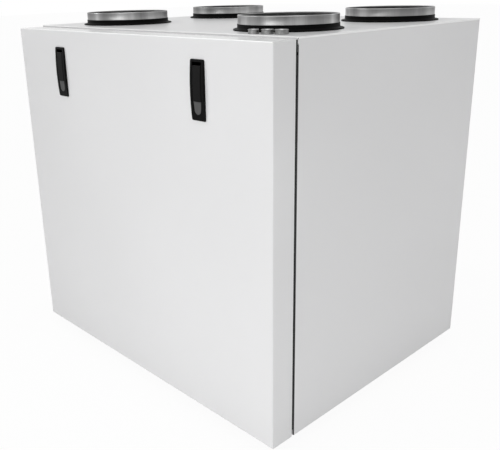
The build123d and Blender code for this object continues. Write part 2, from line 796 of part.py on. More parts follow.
def terminal_block():
    """A row of screw terminals along the board's upper edge."""
    pitch = 7.5
    count = int((control_width - 2 * control_wall - 12) / pitch)
    low_x = control_x + control_wall + 5.0
    top = ceiling_z - control_wall - 12.0
    strip = block((low_x, low_x + count * pitch), (board_y - 13, board_y), (top - 14, top))
    for step in range(count):
        middle = low_x + (step + 0.5) * pitch
        strip -= along_y(Pos(middle, top - 8) * Circle(2), board_y - 14, board_y - 9)
        strip -= block((middle - 2.4, middle + 2.4), (board_y - 14, board_y - 11), (top - 3, top + 1))
    return strip


def probe_levels():
    """Heights of the front pair and of the two rear probes."""
    return [ceiling_z - probe_drop, fan_z + probe_rise, fan_z + probe_rise + probe_step]


def probe_front_y():
    return divider_y - probe_inset


def temperature_probes():
    """Four rods: two stand out of the upper partition and one into each fan bay."""
    def probe(root, y, z, sign):
        rod = Pos(y, z) * Circle(probe_radius)
        x = sorted((root - sign * probe_seat, root + sign * probe_length))
        stem = along_x(rod, *x)
        tip = stem.edges().group_by(Axis.X)[-1 if sign > 0 else 0]
        return chamfer(tip, probe_radius / 2)
    probes = [probe(sign * core_flat / 2, probe_front_y(), probe_levels()[0], sign) for sign in signs]
    probes += [probe(sign * rib_half, rear_y - foam_wall, probe_levels()[(1 + sign) // 2 + 1], sign)
               for sign in signs]
    return Compound(probes)


# ------------------------------------------------------------------ door
def hook_slots(depth_low, depth_high, top):
    """Room in the door's lower edge for the rod brackets."""
    reach = hook_width / 2 + fit + ear_wall + 3.0
    slot = block((hook_x - reach, hook_x + reach), (depth_low, depth_high), (base_z - 1, top))
    return [slot, mirrored(slot)]


def latch_opening(low_y, high_y):
    """Room for both latch wells between two depths."""
    reach = well_width / 2 + well_wall + fit
    cut = block((latch_x - reach, latch_x + reach), (low_y, high_y),
                (bezel_bottom + 7.0 - fit, bezel_top - bezel_rim + well_wall + fit))
    return [cut, mirrored(cut)]


def arm_opening(low_y, high_y):
    """Room for both latch arms to swing down."""
    reach = arm_width / 2 + 2.0
    sweep = nose_y + nose_wall - pin_y + 1.5
    cut = block((latch_x - reach, latch_x + reach), (low_y, high_y), (pin_z - sweep, nose_top + 2.0))
    return [cut, mirrored(cut)]


def door_skin():
    """A pan with folded edges and a return round the back."""
    outer = fillet(block((-half, half), (0, door_depth), (base_z, door_top)).edges().group_by(Axis.Y)[0],
                   1.5 * door_sheet)
    pan = outer - block((-half + door_sheet, half - door_sheet), (door_sheet, door_depth - door_sheet),
                        (base_z + door_sheet, door_top - door_sheet))
    pan -= block((-half + door_return, half - door_return), (door_depth / 2, door_depth + 1),
                 (base_z + door_return, door_top - door_return))
    slots = hook_slots(rod_y - ear_radius - 1, door_depth + 1, rod_z + ear_radius + 1)
    return pan.cut(*latch_opening(-1, door_depth / 2), *slots)


def door_insulation():
    inner = block((-half + door_sheet, half - door_sheet), (door_sheet, door_depth - door_sheet),
                  (base_z + door_sheet, door_top - door_sheet))
    reach = hook_width / 2 + fit
    plates = [block((x - reach, x + reach), (0, door_sheet + hook_wall), (base_z, rod_z + hook_rise + fit))
              for x in (-hook_x, hook_x)]
    return inner.cut(*latch_opening(0, well_depth + fit), *arm_opening(well_depth, door_depth + 1), *plates,
                     *hook_slots(0, door_depth + 1, rod_z + rod_radius + hook_wall + 3.0))


def door_liner():
    """The inner sheet, inside the pan's return."""
    edge = door_return + fit
    sheet = block((-half + edge, half - edge), (door_depth - door_sheet, door_depth),
                  (base_z + edge, door_top - edge))
    return sheet.cut(*arm_opening(door_depth / 2, door_depth + 1),
                     *hook_slots(door_depth / 2, door_depth + 1, rod_z + ear_radius + 1))


def door_seal():
    """A strip round the frame, and strips that meet the partitions and shelves."""
    low = rod_z + ear_radius + 1.5
    outer = (half - seal_inset, low, door_top - seal_drop)
    ring = block((-outer[0], outer[0]), (door_back, seal_y), (outer[1], outer[2]))
    ring -= block((-outer[0] + seal_width, outer[0] - seal_width), (door_back - 1, seal_y + 1),
                  (outer[1] + seal_width, outer[2] - seal_width))
    corners = ring.edges().filter_by(Axis.Y).group_by(Axis.Z)[-1]
    ring = fillet(corners, seal_corner)
    for sign in signs:
        x = sorted((sign * (outer[0] - seal_width), sign * outer[0]))
        ring += block(x, (door_back, seal_y), (rod_z + 1, low + seal_width))
    ring = fillet(ring.edges().group_by(Axis.Y)[-1], seal_width / 8)
    pieces = [ring]
    spans = [((-seal_width, seal_width), (core_z + core_rise + 8, deck_z - rail_height - 8)),
             ((-seal_width, seal_width), (low + seal_width + 4, core_z - core_rise - 8)),
             ((core_half + 4, cavity - 4), (core_z - seal_width / 2, core_z + seal_width / 2)),
             ((-cavity + 4, -core_half - 4), (core_z - seal_width / 2, core_z + seal_width / 2))]
    for x, z in spans:
        strip = block(x, (door_back, strip_y), z)
        pieces.append(fillet(strip.edges().group_by(Axis.Y)[-1], seal_width / 5))
    return Compound(pieces)


def door_hooks():
    """A plate on the skin's inner face that curls over each rod and is open below."""
    bore = rod_radius + run
    rim = rod_radius + hook_wall
    ring = Pos(rod_y, rod_z) * Circle(rim)
    web = Pos((door_sheet + rod_y) / 2, rod_z + rod_radius) * Rectangle(rod_y - door_sheet, 2 * hook_wall)
    plate = Pos(door_sheet, rod_z - hook_drop) * Rectangle(hook_wall, hook_drop + hook_rise,
                                                           align=(Align.MIN, Align.MIN))
    section = ring + web + plate - Pos(rod_y, rod_z) * Circle(bore)
    section -= Pos(rod_y, rod_z - rim) * Rectangle(2 * bore, 2 * rim)
    hook = along_x(section, -hook_width / 2, hook_width / 2)
    return Pos(-hook_x, 0, 0) * hook + Pos(hook_x, 0, 0) * hook


# ------------------------------------------------------------------ latches
def latch_housing():
    """The right latch's bezel, bowed over its length, with a well for the lever and a finger scoop."""
    middle = (bezel_top + bezel_bottom) / 2
    crown = ThreePointArc((-bezel_edge, bezel_bottom), (-bezel_edge - bezel_crown, middle),
                          (-bezel_edge, bezel_top))
    side = make_face(crown + Polyline((-bezel_edge, bezel_top), (0, bezel_top), (0, bezel_bottom),
                                      (-bezel_edge, bezel_bottom)))
    bezel = along_x(side, -bezel_width / 2, bezel_width / 2)
    bezel &= along_y(Pos(0, middle) * RectangleRounded(bezel_width, bezel_height, 5), -20, 1)
    bezel = fillet(bezel.faces().sort_by(Axis.Y)[0].edges(), 0.7)
    reach = well_width / 2 + well_wall
    well_top = bezel_top - bezel_rim + well_wall
    body = bezel + block((-reach, reach), (0, well_depth), (bezel_bottom + 7.0, well_top))
    body -= block((-well_width / 2, well_width / 2), (-20, well_depth - well_wall),
                  (lever_bottom - fit, bezel_top - bezel_rim))
    tongue = Pos(0, lever_bottom - scoop_height / 2) * Rectangle(scoop_width, scoop_height + 2 * fit)
    tongue = fillet(tongue.vertices().group_by(Axis.Y)[0], scoop_width / 2 - 0.5)
    floor = -bezel_edge - bezel_crown + scoop_depth
    ramp = Polygon((-20, lever_bottom), (floor, lever_bottom), (floor + 0.6, lever_bottom - scoop_height),
                   (-20, lever_bottom - scoop_height), align=None)
    body -= along_y(tongue, -20, well_depth) & along_x(ramp, -scoop_width, scoop_width)
    sweep = nose_y + nose_wall - pin_y + 1.5
    body -= block((-arm_width / 2 - 2, arm_width / 2 + 2), (well_depth / 2, well_depth + 1),
                  (pin_z - sweep + 4.0, bezel_top - bezel_rim))
    body -= along_x(Pos(pin_y, pin_z) * Circle(pin_radius + run), -reach - 1, reach + 1)
    return Pos(latch_x, 0, 0) * body


def latch_pins():
    reach = well_width / 2 + well_wall
    pin = along_x(Pos(pin_y, pin_z) * Circle(pin_radius), -reach, reach)
    return Compound([Pos(-latch_x, 0, 0) * pin, Pos(latch_x, 0, 0) * pin])


def latch_lever():
    """The right lever: a bowed plate outside, a boss on the pin and an arm with an upturned nose."""
    face_y = -bezel_edge - bezel_crown
    middle = (lever_top + lever_bottom) / 2
    front = ThreePointArc((face_y, lever_bottom + 0.5), (face_y - 0.4, middle),
                          (face_y + lever_crown, lever_top))
    rear = ThreePointArc((face_y + lever_wall, lever_bottom + 0.5), (face_y - 0.4 + lever_wall, middle),
                         (face_y + lever_crown + lever_wall, lever_top))
    plate = make_face([front, rear, Line(front @ 0, rear @ 0), Line(front @ 1, rear @ 1)])
    body = along_x(plate, -lever_width / 2, lever_width / 2)
    body = fillet(body.faces().sort_by(Axis.Y)[0].edges(), 0.9)
    web = Pos((face_y + pin_y) / 2 + 1.5, pin_z) * Rectangle(pin_y - face_y - 1.0, boss_radius * 1.5)
    body += along_x(web + Pos(pin_y, pin_z) * Circle(boss_radius), -lever_width / 2, lever_width / 2)
    low = pin_z - arm_height + 1.0
    tip = nose_y + nose_wall
    arm = Polygon((pin_y, low), (tip - 3, low), (tip, low + 3), (tip, nose_top - 2), (tip - 1.2, nose_top),
                  (nose_y, nose_top), (nose_y, low + arm_height), (pin_y, low + arm_height), align=None)
    body += along_x(arm, -arm_width / 2, arm_width / 2)
    return Pos(latch_x, 0, 0) * (body - along_x(Pos(pin_y, pin_z) * Circle(pin_radius + run), -20, 20))


# ------------------------------------------------------------------ hand over
def build():
    """Every piece by name, still in the building frame."""
    right = {"side_panel": side_panel(), "foam_side": foam_side(), "scroll_housing": scroll_housing(),
             "fan_motor": fan_motor(), "impeller": impeller(), "filter_frame": filter_frame(),
             "filter_media": filter_media(), "latch_housing": latch_housing(), "latch_lever": latch_lever()}
    pieces = {}
    for name, shape in right.items():
        pieces[name + "_right"] = shape
        pieces[name + "_left"] = mirrored(shape)
    for name, place in zip(("front_left", "front_right", "rear_left", "rear_right"), spigot_places()):
        pieces["spigot_" + name] = spigot(*place)
        pieces["collar_" + name] = collar(*place)
    singles = (base_panel, back_panel, top_panel, front_rail, latch_keepers, door_rods, feet, panel_screws,
               cable_glands, foam_back, foam_base, foam_top, foam_sleeves, foam_divider, foam_partitions,
               foam_shelves, bypass_block, exchanger_core, exchanger_caps, exchanger_strap, inlet_cones,
               bypass_flap, bypass_actuator, condensate_tray, control_box, control_cover, circuit_board,
               temperature_probes, door_skin, door_insulation, door_liner, door_seal,
               door_hooks, latch_pins)
    for function in singles:
        pieces[function.__name__] = function()
    return pieces


os.makedirs("parts", exist_ok=True)
face_front = -bezel_edge - bezel_crown - 0.4
face_rear = back_y + screw_head_height
to_origin = Pos(0, -(face_front + face_rear) / 2, 0)
for name, shape in build().items():
    export_step(to_origin * shape, f"parts/{name}.step")
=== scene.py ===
import math

import bmesh
import bpy
from mathutils import Matrix, Vector


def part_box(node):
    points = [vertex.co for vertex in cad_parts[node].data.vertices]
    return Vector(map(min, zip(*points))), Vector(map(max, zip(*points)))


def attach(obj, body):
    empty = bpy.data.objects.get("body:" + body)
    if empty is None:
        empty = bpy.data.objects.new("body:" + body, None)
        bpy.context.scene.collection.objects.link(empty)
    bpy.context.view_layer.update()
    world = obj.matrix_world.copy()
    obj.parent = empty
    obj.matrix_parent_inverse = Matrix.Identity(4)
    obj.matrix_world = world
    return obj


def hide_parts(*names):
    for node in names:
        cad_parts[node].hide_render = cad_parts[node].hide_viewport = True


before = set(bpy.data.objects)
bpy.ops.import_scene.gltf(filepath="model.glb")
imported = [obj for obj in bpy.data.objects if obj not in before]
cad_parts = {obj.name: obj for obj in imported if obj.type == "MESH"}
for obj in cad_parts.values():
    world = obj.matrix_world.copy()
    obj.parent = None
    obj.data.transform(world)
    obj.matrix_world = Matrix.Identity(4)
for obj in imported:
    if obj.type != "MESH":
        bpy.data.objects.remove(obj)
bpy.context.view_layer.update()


# ---------------------------------------------------------------- painted case
# The shell of a floor standing heat recovery unit. Side, back and top sheets of 1 mm steel are folded and
# powder coated white, so the folds are slightly round and the paint has a fine orange peel.

SHELL_WHITE = (0.79, 0.79, 0.795, 1)
TOP_WHITE_PAINTED_SHADE = (0.68, 0.68, 0.685, 1)    # the same white set a little greyer than the sides: painted shade on the top
PAINTED_FOLD_HIGHLIGHT = (0.98, 0.98, 0.98, 1)    # a painted highlight along the folds and edges
PEEL_SCALE = 700          # per metre, orange peel cells of about 1.5 mm


def new_material(name, colour, roughness, metallic=0.0, specular=0.5):
    made = bpy.data.materials.new(name)
    made.use_nodes = True
    shader = made.node_tree.nodes["Principled BSDF"]
    shader.inputs["Base Color"].default_value = colour
    shader.inputs["Roughness"].default_value = roughness
    shader.inputs["Metallic"].default_value = metallic
    shader.inputs["Specular IOR Level"].default_value = specular
    return made, made.node_tree, shader


def node(tree, kind, settings=None, **inputs):
    """Adds a node. A value that is a socket is linked, any other is set."""
    made = tree.nodes.new("ShaderNode" + kind)
    for key, value in (settings or {}).items():
        setattr(made, key, value)
    for key, value in inputs.items():
        socket = made.inputs[int(key[1:])] if key[1:].isdigit() else made.inputs[key.replace("_", " ")]
        if isinstance(value, bpy.types.NodeSocket):
            tree.links.new(value, socket)
        else:
            socket.default_value = value
    return made


def maths(tree, operation, first, second=0.5):
    """The result of a Math node on one or two values."""
    return node(tree, "Math", {"operation": operation}, _0=first, _1=second).outputs["Value"]


def remap(tree, value, low=0.0, high=1.0, to_low=0.0, to_high=1.0):
    """Maps low to to_low and high to to_high, clamped beyond them."""
    return node(tree, "MapRange", Value=value, From_Min=low, From_Max=high, To_Min=to_low,
                To_Max=to_high).outputs["Result"]


def blend(tree, share, colour, over):
    """colour where share is 0 and over where it is 1."""
    return node(tree, "Mix", {"data_type": "RGBA"}, _0=share, _6=colour, _7=over).outputs[2]


def place(tree, stretch=(1, 1, 1)):
    """Coordinates fixed to the piece, in metres times stretch."""
    where = tree.nodes.new("ShaderNodeTexCoord").outputs["Object"]
    return node(tree, "Mapping", Vector=where, Scale=stretch).outputs["Vector"]


def parts_of(tree, vector):
    """The X, Y and Z sockets of a vector."""
    return node(tree, "SeparateXYZ", Vector=vector).outputs


def facing(tree):
    """The X, Y and Z sockets of the direction that the surface faces, fixed to the piece."""
    return parts_of(tree, tree.nodes.new("ShaderNodeTexCoord").outputs["Normal"])


def ramp(tree, factor, stops):
    made = node(tree, "ValToRGB", Fac=factor)
    band = made.color_ramp
    while len(band.elements) < len(stops):
        band.elements.new(0.5)
    for element, (position, colour) in zip(band.elements, stops):
        element.position = position
        element.color = colour if len(colour) == 4 else (*colour, 1)
    return made.outputs["Color"]


def grey(value, warm=0.0):
    return (value * (1 + warm), value, value * (1 - warm), 1)


def bump(tree, shader, height, depth, strength=1.0):
    raised = node(tree, "Bump", Height=height, Distance=depth, Strength=strength)
    tree.links.new(raised.outputs["Normal"], shader.inputs["Normal"])


def near(tree, where, axis, level, width):
    """1 within width of a level along one axis and 0 beyond. X stands for both sides of the piece."""
    along = maths(tree, "ABSOLUTE", where[axis]) if axis == "X" else where[axis]
    away = maths(tree, "ABSOLUTE", maths(tree, "SUBTRACT", along, level))
    return remap(tree, away, width * 0.8, width, 1.0, 0.0)


def powder_coat(name, colour, roughness=0.3, edges=(), specular=0.5):
    """edges are (axis, level, width): the sheet's edges that get the painted highlight, besides upward folds.
    """
    made, tree, shader = new_material(name, colour, roughness, specular=specular)
    cloud = node(tree, "TexNoise", Vector=place(tree), Scale=4, Detail=0).outputs["Fac"]
    tone = ramp(tree, cloud, [(0.0, [c * 0.97 for c in colour[:3]]), (1.0, [c * 1.03 for c in colour[:3]])])
    # Upward folds and the listed edges are painted lighter: a painted highlight.
    upward = facing(tree)["Z"]
    rising = remap(tree, upward, 0.08, 0.35)
    not_level = remap(tree, upward, 0.9, 0.985, 1.0, 0.0)
    fold_highlight = maths(tree, "MULTIPLY", rising, not_level)
    where = parts_of(tree, place(tree))
    for axis, line, width in edges:
        fold_highlight = maths(tree, "MAXIMUM", fold_highlight, near(tree, where, axis, line, width))
    tree.links.new(blend(tree, fold_highlight, tone, PAINTED_FOLD_HIGHLIGHT), shader.inputs["Base Color"])
    peel = node(tree, "TexNoise", Vector=place(tree), Scale=PEEL_SCALE, Detail=1).outputs["Fac"]
    bump(tree, shader, peel, 0.00002, 0.5)
    return made


def dress(material, *names):
    for name in names:
        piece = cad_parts[name]
        if not piece.material_slots:
            piece.data.materials.append(None)
        for slot in piece.material_slots:
            slot.material = material


EDGE = 0.0016             # width of the painted highlight along a sheet's edge
side_low, side_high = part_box("side_panel_right")
shell_paint = powder_coat("shell_powder_coat", SHELL_WHITE)
side_paint = powder_coat("side_powder_coat", SHELL_WHITE, edges=[("Z", side_high.z, EDGE)])
top_paint = powder_coat("top_powder_coat_painted_shade", TOP_WHITE_PAINTED_SHADE, specular=0.22,
                        edges=[("X", side_high.x, EDGE), ("Y", side_low.y, EDGE)])

# The white folds that the door's seal closes against are painted black: painted shade, so that the gap beside
# it reads dark.
GAP_PAINTED_SHADE = grey(0.02)
SHADE_WIDTH = 0.002       # in from the side
SHADE_FADE = (0.010, 0.007)    # below the side's top edge, where the painted shade starts to fade and has gone
tree = side_paint.node_tree
base_colour = tree.nodes["Principled BSDF"].inputs["Base Color"]
painted = base_colour.links[0].from_socket
where = parts_of(tree, place(tree))
forward = remap(tree, facing(tree)["Y"], -0.1, -0.4)
gap_shade_mask = maths(tree, "MULTIPLY", forward, near(tree, where, "X", side_high.x, SHADE_WIDTH))
below = remap(tree, where["Z"], side_high.z - SHADE_FADE[0], side_high.z - SHADE_FADE[1], 1.0, 0.0)
gap_shade_mask = maths(tree, "MULTIPLY", gap_shade_mask, below)
tree.links.new(blend(tree, gap_shade_mask, painted, GAP_PAINTED_SHADE), base_colour)
dress(shell_paint, "back_panel", "front_rail")
dress(side_paint, "side_panel_left", "side_panel_right")
dress(top_paint, "top_panel")

# The top sheet's long side edges are rounded over before it is painted.
TOP_EDGE_RADIUS = 0.0009
SAME_PLACE = 1e-5
top_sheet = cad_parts["top_panel"]
top_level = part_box("top_panel")[1].z
weights = top_sheet.data.attributes.new("bevel_weight_edge", "FLOAT", "EDGE")
for edge in top_sheet.data.edges:
    ends = [top_sheet.data.vertices[v].co for v in edge.vertices]
    level = all(abs(end.z - top_level) < SAME_PLACE for end in ends)
    if level and all(abs(abs(end.x) - side_high.x) < SAME_PLACE for end in ends):
        weights.data[edge.index].value = 1.0
rounding = top_sheet.modifiers.new("rounded_edges", "BEVEL")
rounding.limit_method = "WEIGHT"
rounding.width = TOP_EDGE_RADIUS
rounding.segments = 3


# ---------------------------------------------------------------- base and feet
# The base sheet is the same steel left galvanised. Four soft rubber feet are glued under it, slightly domed
# at the floor, so the fans are not heard through the shelf.

def galvanised(name, value=0.55, roughness=0.38):
    made, tree, shader = new_material(name, grey(value), roughness, metallic=1.0)
    spangle = node(tree, "TexVoronoi", Vector=place(tree), Scale=130, Randomness=1.0).outputs["Color"]
    flake = node(tree, "RGBToBW", Color=spangle).outputs["Val"]
    tone = ramp(tree, flake, [(0.2, grey(value * 0.9)), (0.8, grey(value * 1.08))])
    tree.links.new(tone, shader.inputs["Base Color"])
    gloss = remap(tree, flake, to_low=roughness - 0.08, to_high=roughness + 0.1)
    tree.links.new(gloss, shader.inputs["Roughness"])
    return made


def black_rubber(name, value=0.02, roughness=0.55, specular=0.5):
    made, tree, shader = new_material(name, grey(value), roughness, specular=specular)
    grain = node(tree, "TexNoise", Vector=place(tree), Scale=900, Detail=2).outputs["Fac"]
    tone = ramp(tree, grain, [(0.35, grey(value * 0.8)), (0.7, grey(value * 1.3))])
    tree.links.new(tone, shader.inputs["Base Color"])
    bump(tree, shader, grain, 0.00004, 0.6)
    return made


def mesh_piece(name, build, material, smooth=35):
    """A new mesh piece. build fills a bmesh, and faces that meet at less than smooth degrees shade as one."""
    mesh = bpy.data.meshes.new(name)
    form = bmesh.new()
    build(form)
    bmesh.ops.recalc_face_normals(form, faces=form.faces)
    form.to_mesh(mesh)
    form.free()
    mesh.shade_smooth()
    mesh.set_sharp_from_angle(angle=math.radians(smooth))
    mesh.materials.append(material)
    piece = bpy.data.objects.new(name, mesh)
    bpy.context.scene.collection.objects.link(piece)
    return piece


def spin(form, outline, centre, axis="Z", steps=96, closed=True):
    """Turns an outline of (radius, height) points about an axis through centre."""
    turn = {"Z": Matrix.Identity(3), "Y": Matrix.Rotation(math.pi / 2, 3, "X")}[axis]
    rings = []
    for k in range(steps):
        angle = 2 * math.pi * k / steps
        across, along = math.cos(angle), math.sin(angle)
        rings.append([form.verts.new(Vector(centre) + turn @ Vector((r * across, r * along, h)))
                      for r, h in outline])
    count = len(outline)
    for k in range(steps):
        here, there = rings[k], rings[(k + 1) % steps]
        for i in range(count if closed else count - 1):
            j = (i + 1) % count
            form.faces.new((here[i], here[j], there[j], there[i]))
    if not closed:
        form.faces.new([ring[0] for ring in rings])
        form.faces.new([ring[-1] for ring in rings])


zinc = galvanised("galvanised_sheet")
foot_rubber = black_rubber("foot_rubber")
dress(zinc, "base_panel")

low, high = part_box("feet")
FOOT_RADIUS = 0.020
foot_outline = [(0.0005, high.z), (FOOT_RADIUS, high.z), (FOOT_RADIUS, 0.017), (FOOT_RADIUS - 0.0008, 0.0155),
                (FOOT_RADIUS - 0.0022, 0.004), (FOOT_RADIUS - 0.0035, 0.001), (FOOT_RADIUS - 0.0055, 0),
                (0.009, 0), (0.0085, 0.001), (0.0005, 0.001)]


def four_feet(form):
    for x in (low.x + FOOT_RADIUS, high.x - FOOT_RADIUS):
        for y in (low.y + FOOT_RADIUS, high.y - FOOT_RADIUS):
            spin(form, foot_outline, (x, y, 0), steps=64, closed=False)


feet = mesh_piece("rubber_feet", four_feet, foot_rubber)
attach(feet, "case")
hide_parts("feet")


# ---------------------------------------------------------------- foam lining
# Moulded bead foam (expanded polypropylene) fills the shell. It carries the exchanger, the fans and the
# filters without a single screw, seals the air paths and keeps the case dry and quiet.

def bead_foam(name, value=0.035):
    made, tree, shader = new_material(name, grey(value), 0.72)
    beads = node(tree, "TexVoronoi", Vector=place(tree), Scale=260).outputs["Distance"]
    tone = ramp(tree, beads, [(0.05, grey(value * 1.35)), (0.6, grey(value * 0.7))])
    tree.links.new(tone, shader.inputs["Base Color"])
    bump(tree, shader, remap(tree, beads, to_low=1.0, to_high=0.0), 0.0006, 0.5)
    return made


foam = bead_foam("bead_foam")
dress(foam, "foam_back", "foam_base", "foam_top", "foam_side_left", "foam_side_right", "foam_divider",
      "foam_sleeves", "foam_partitions", "foam_shelves", "bypass_block", "door_insulation")


# ---------------------------------------------------------------- exchanger
# A counterflow plate exchanger: thin polystyrene plates welded in a stack between two end caps, and a woven
# strap that the fitter pulls it out by.

def moulded(name, colour, roughness=0.42, grain=0.00003, specular=0.5):
    made, tree, shader = new_material(name, colour, roughness, specular=specular)
    spark = node(tree, "TexNoise", Vector=place(tree), Scale=1100, Detail=2).outputs["Fac"]
    cloud = node(tree, "TexNoise", Vector=place(tree), Scale=14, Detail=2).outputs["Fac"]
    tone = ramp(tree, cloud, [(0.3, [c * 0.92 for c in colour[:3]]), (0.7, [c * 1.06 for c in colour[:3]])])
    tree.links.new(tone, shader.inputs["Base Color"])
    bump(tree, shader, spark, grain, 0.5)
    return made


plates = moulded("exchanger_plates", (0.42, 0.50, 0.56, 1), 0.35)
caps = moulded("exchanger_cap_plastic", (0.62, 0.64, 0.65, 1), 0.4)
webbing = moulded("strap_webbing", (0.03, 0.10, 0.28, 1), 0.8, 0.0002)
dress(plates, "exchanger_core")
dress(caps, "exchanger_caps")
dress(webbing, "exchanger_strap")


# ---------------------------------------------------------------- fans
# Two centrifugal fans in plastic scrolls. A backward curved plastic wheel is pressed on the shaft of an
# external rotor motor, and a turned inlet cone leads the air into its eye.

fan_plastic = moulded("fan_black_plastic", (0.022, 0.022, 0.024, 1), 0.45)
wheel_plastic = moulded("wheel_blue_plastic", (0.05, 0.10, 0.16, 1), 0.4)
motor_zinc = galvanised("motor_casting", 0.42, 0.45)
dress(fan_plastic, "scroll_housing_left", "scroll_housing_right", "inlet_cones")
dress(wheel_plastic, "impeller_left", "impeller_right")
dress(motor_zinc, "fan_motor_left", "fan_motor_right")


# ---------------------------------------------------------------- filters
# Pleated synthetic filter media glued into moulded frames, one for the outdoor air and one for the extract
# air.

media = moulded("filter_media", (0.74, 0.75, 0.74, 1), 0.9, 0.0003)
frame_plastic = moulded("filter_frame_plastic", (0.55, 0.56, 0.56, 1), 0.5)
dress(media, "filter_media_left", "filter_media_right")
dress(frame_plastic, "filter_frame_left", "filter_frame_right")


# ---------------------------------------------------------------- bypass and tray
# A flap on a steel shaft opens the channel behind the exchanger. Its small actuator drives the shaft, and the
# tray below collects the condensate and lets it out through a stub.

grey_plastic = moulded("grey_plastic", (0.30, 0.31, 0.32, 1), 0.45)
dress(grey_plastic, "bypass_actuator", "condensate_tray")
dress(zinc, "bypass_flap")


# ---------------------------------------------------------------- controls
# A moulded box behind the door holds the circuit board. Probes stand in the four air paths.

control_white = moulded("control_box_plastic", (0.60, 0.60, 0.59, 1), 0.45)
board_green = moulded("circuit_board_resist", (0.01, 0.16, 0.06, 1), 0.35)
dress(control_white, "control_box", "control_cover")
dress(board_green, "circuit_board")
dress(zinc, "temperature_probes")


# ---------------------------------------------------------------- screws
# The back sheet is held by pan head screws with a cross recess, zinc plated.

screw_zinc = galvanised("screw_zinc_plate", 0.62, 0.3)
SCREW_HEAD = 0.0040
SCREW_SHANK = 0.0019
HEAD_HEIGHT = 0.0022
RECESS_ARM = 0.0022
RECESS_HALF = 0.00045
RECESS_DEPTH = 0.0012
RECESS_TAPER = 0.75
rear_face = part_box("side_panel_right")[1].y


def screw_places():
    """The axis of each screw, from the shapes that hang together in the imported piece."""
    form = bmesh.new()
    form.from_mesh(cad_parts["panel_screws"].data)
    left, places = set(form.verts), []
    while left:
        island, edge = set(), [left.pop()]
        while edge:
            vert = edge.pop()
            island.add(vert)
            for link in vert.link_edges:
                other = link.other_vert(vert)
                if other in left:
                    left.remove(other)
                    edge.append(other)
        xs, zs = [v.co.x for v in island], [v.co.z for v in island]
        places.append(((min(xs) + max(xs)) / 2, (min(zs) + max(zs)) / 2))
    form.free()
    return sorted(places)


def screw(form):
    low_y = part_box("panel_screws")[0].y - rear_face
    outline = [(0.00005, low_y), (SCREW_SHANK, low_y), (SCREW_SHANK, 0.0), (SCREW_HEAD, 0.0),
               (SCREW_HEAD, HEAD_HEIGHT * 0.45), (SCREW_HEAD * 0.93, HEAD_HEIGHT * 0.75),
               (SCREW_HEAD * 0.78, HEAD_HEIGHT * 0.93), (SCREW_HEAD * 0.5, HEAD_HEIGHT),
               (0.00005, HEAD_HEIGHT)]
    spin(form, [(radius, -height) for radius, height in outline], (0, 0, 0), axis="Y", steps=40, closed=False)


def recess(form):
    """A tapered cross that is cut out of the head."""
    bottom, mouth = HEAD_HEIGHT - RECESS_DEPTH, HEAD_HEIGHT + 0.0005
    corners = []
    for turn in range(4):
        quarter = Matrix.Rotation(turn * math.pi / 2, 3, "Y")
        corners += [quarter @ Vector((x, 0, z)) for x, z in (
            (RECESS_ARM, -RECESS_HALF), (RECESS_ARM, RECESS_HALF), (RECESS_HALF, RECESS_HALF))]
    # A turn about +Y runs from +X to -Z, so the corners are put in order by their angle.
    corners.sort(key=lambda corner: math.atan2(corner.z, corner.x))
    lower = [form.verts.new((c.x * RECESS_TAPER, bottom, c.z * RECESS_TAPER)) for c in corners]
    upper = [form.verts.new((c.x, mouth, c.z)) for c in corners]
    form.faces.new(lower)
    form.faces.new(upper[::-1])
    for i in range(len(corners)):
        j = (i + 1) % len(corners)
        form.faces.new((lower[i], lower[j], upper[j], upper[i]))


model = mesh_piece("screw_model", screw, screw_zinc, 30)
cutter = mesh_piece("screw_recess", recess, screw_zinc)
cut = model.modifiers.new("recess", "BOOLEAN")
cut.object = cutter
cut.solver = "EXACT"
whole = bpy.data.meshes.new_from_object(model.evaluated_get(bpy.context.evaluated_depsgraph_get()))


def all_screws(form):
    for x, z in screw_places():
        first = len(form.verts)
        form.from_mesh(whole)
        form.verts.ensure_lookup_table()
        bmesh.ops.translate(form, verts=form.verts[first:], vec=(x, rear_face, z))


screws = mesh_piece("pan_head_screws", all_screws, screw_zinc, 30)
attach(screws, "case")
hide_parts("panel_screws")
for spare in (model, cutter):
    bpy.data.objects.remove(spare)


# ---------------------------------------------------------------- duct connections
# Each spigot is a steel tube, swaged out above its collar, with its rim turned in. It stands in a black
# rubber collar whose thin flared foot seals on the top sheet.

def banded_metal_painted_reflection(name, value, roughness, wide, contrast, metallic=1.0):
    """Soft upright bands round the piece, wide of them to a metre: random tone, partly painted reflection."""
    made, tree, shader = new_material(name, grey(value), roughness, metallic)
    bands = node(tree, "TexNoise", Vector=place(tree, (1, 1, 0.03)), Scale=wide, Detail=2, Roughness=0.45)
    fine = node(tree, "TexNoise", Vector=place(tree, (1, 1, 0.04)), Scale=600, Detail=2)
    mixed = maths(tree, "ADD", maths(tree, "MULTIPLY", fine.outputs["Fac"], 0.08), bands.outputs["Fac"])
    tone = ramp(tree, mixed, [(0.40, grey(value / contrast)), (0.55, grey(value)),
                              (0.68, grey(value * contrast))])
    tree.links.new(tone, shader.inputs["Base Color"])
    bump(tree, shader, fine.outputs["Fac"], 0.00001, 0.3)
    return made


# The upright bands on the tubes and glands are partly painted reflection.
spigot_zinc = banded_metal_painted_reflection("spigot_zinc", 0.34, 0.34, 24, 1.5, metallic=0.9)
# The tubes' inner faces are zinc too, but get a paler plain grey: painted light inside the tube.
inside_painted_light = new_material("spigot_inside_painted_light", grey(0.62), 0.5)[0]
collar_rubber = black_rubber("collar_rubber", 0.004, 0.5, specular=0.03)
# Quarter turns, so that the four tubes don't show the same bands.
SPIGOT_TURNS = {"front_left": 0, "front_right": 90, "rear_left": 180, "rear_right": 270}
top_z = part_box("top_panel")[1].z
SPIGOT_SHEET = 0.0008
SPIGOT_SWAGE = 0.0010
COLLAR_HEIGHT = 0.0095
COLLAR_WALL = 0.00145
COLLAR_PLAY = 0.00015
TUBE_STEPS = 144

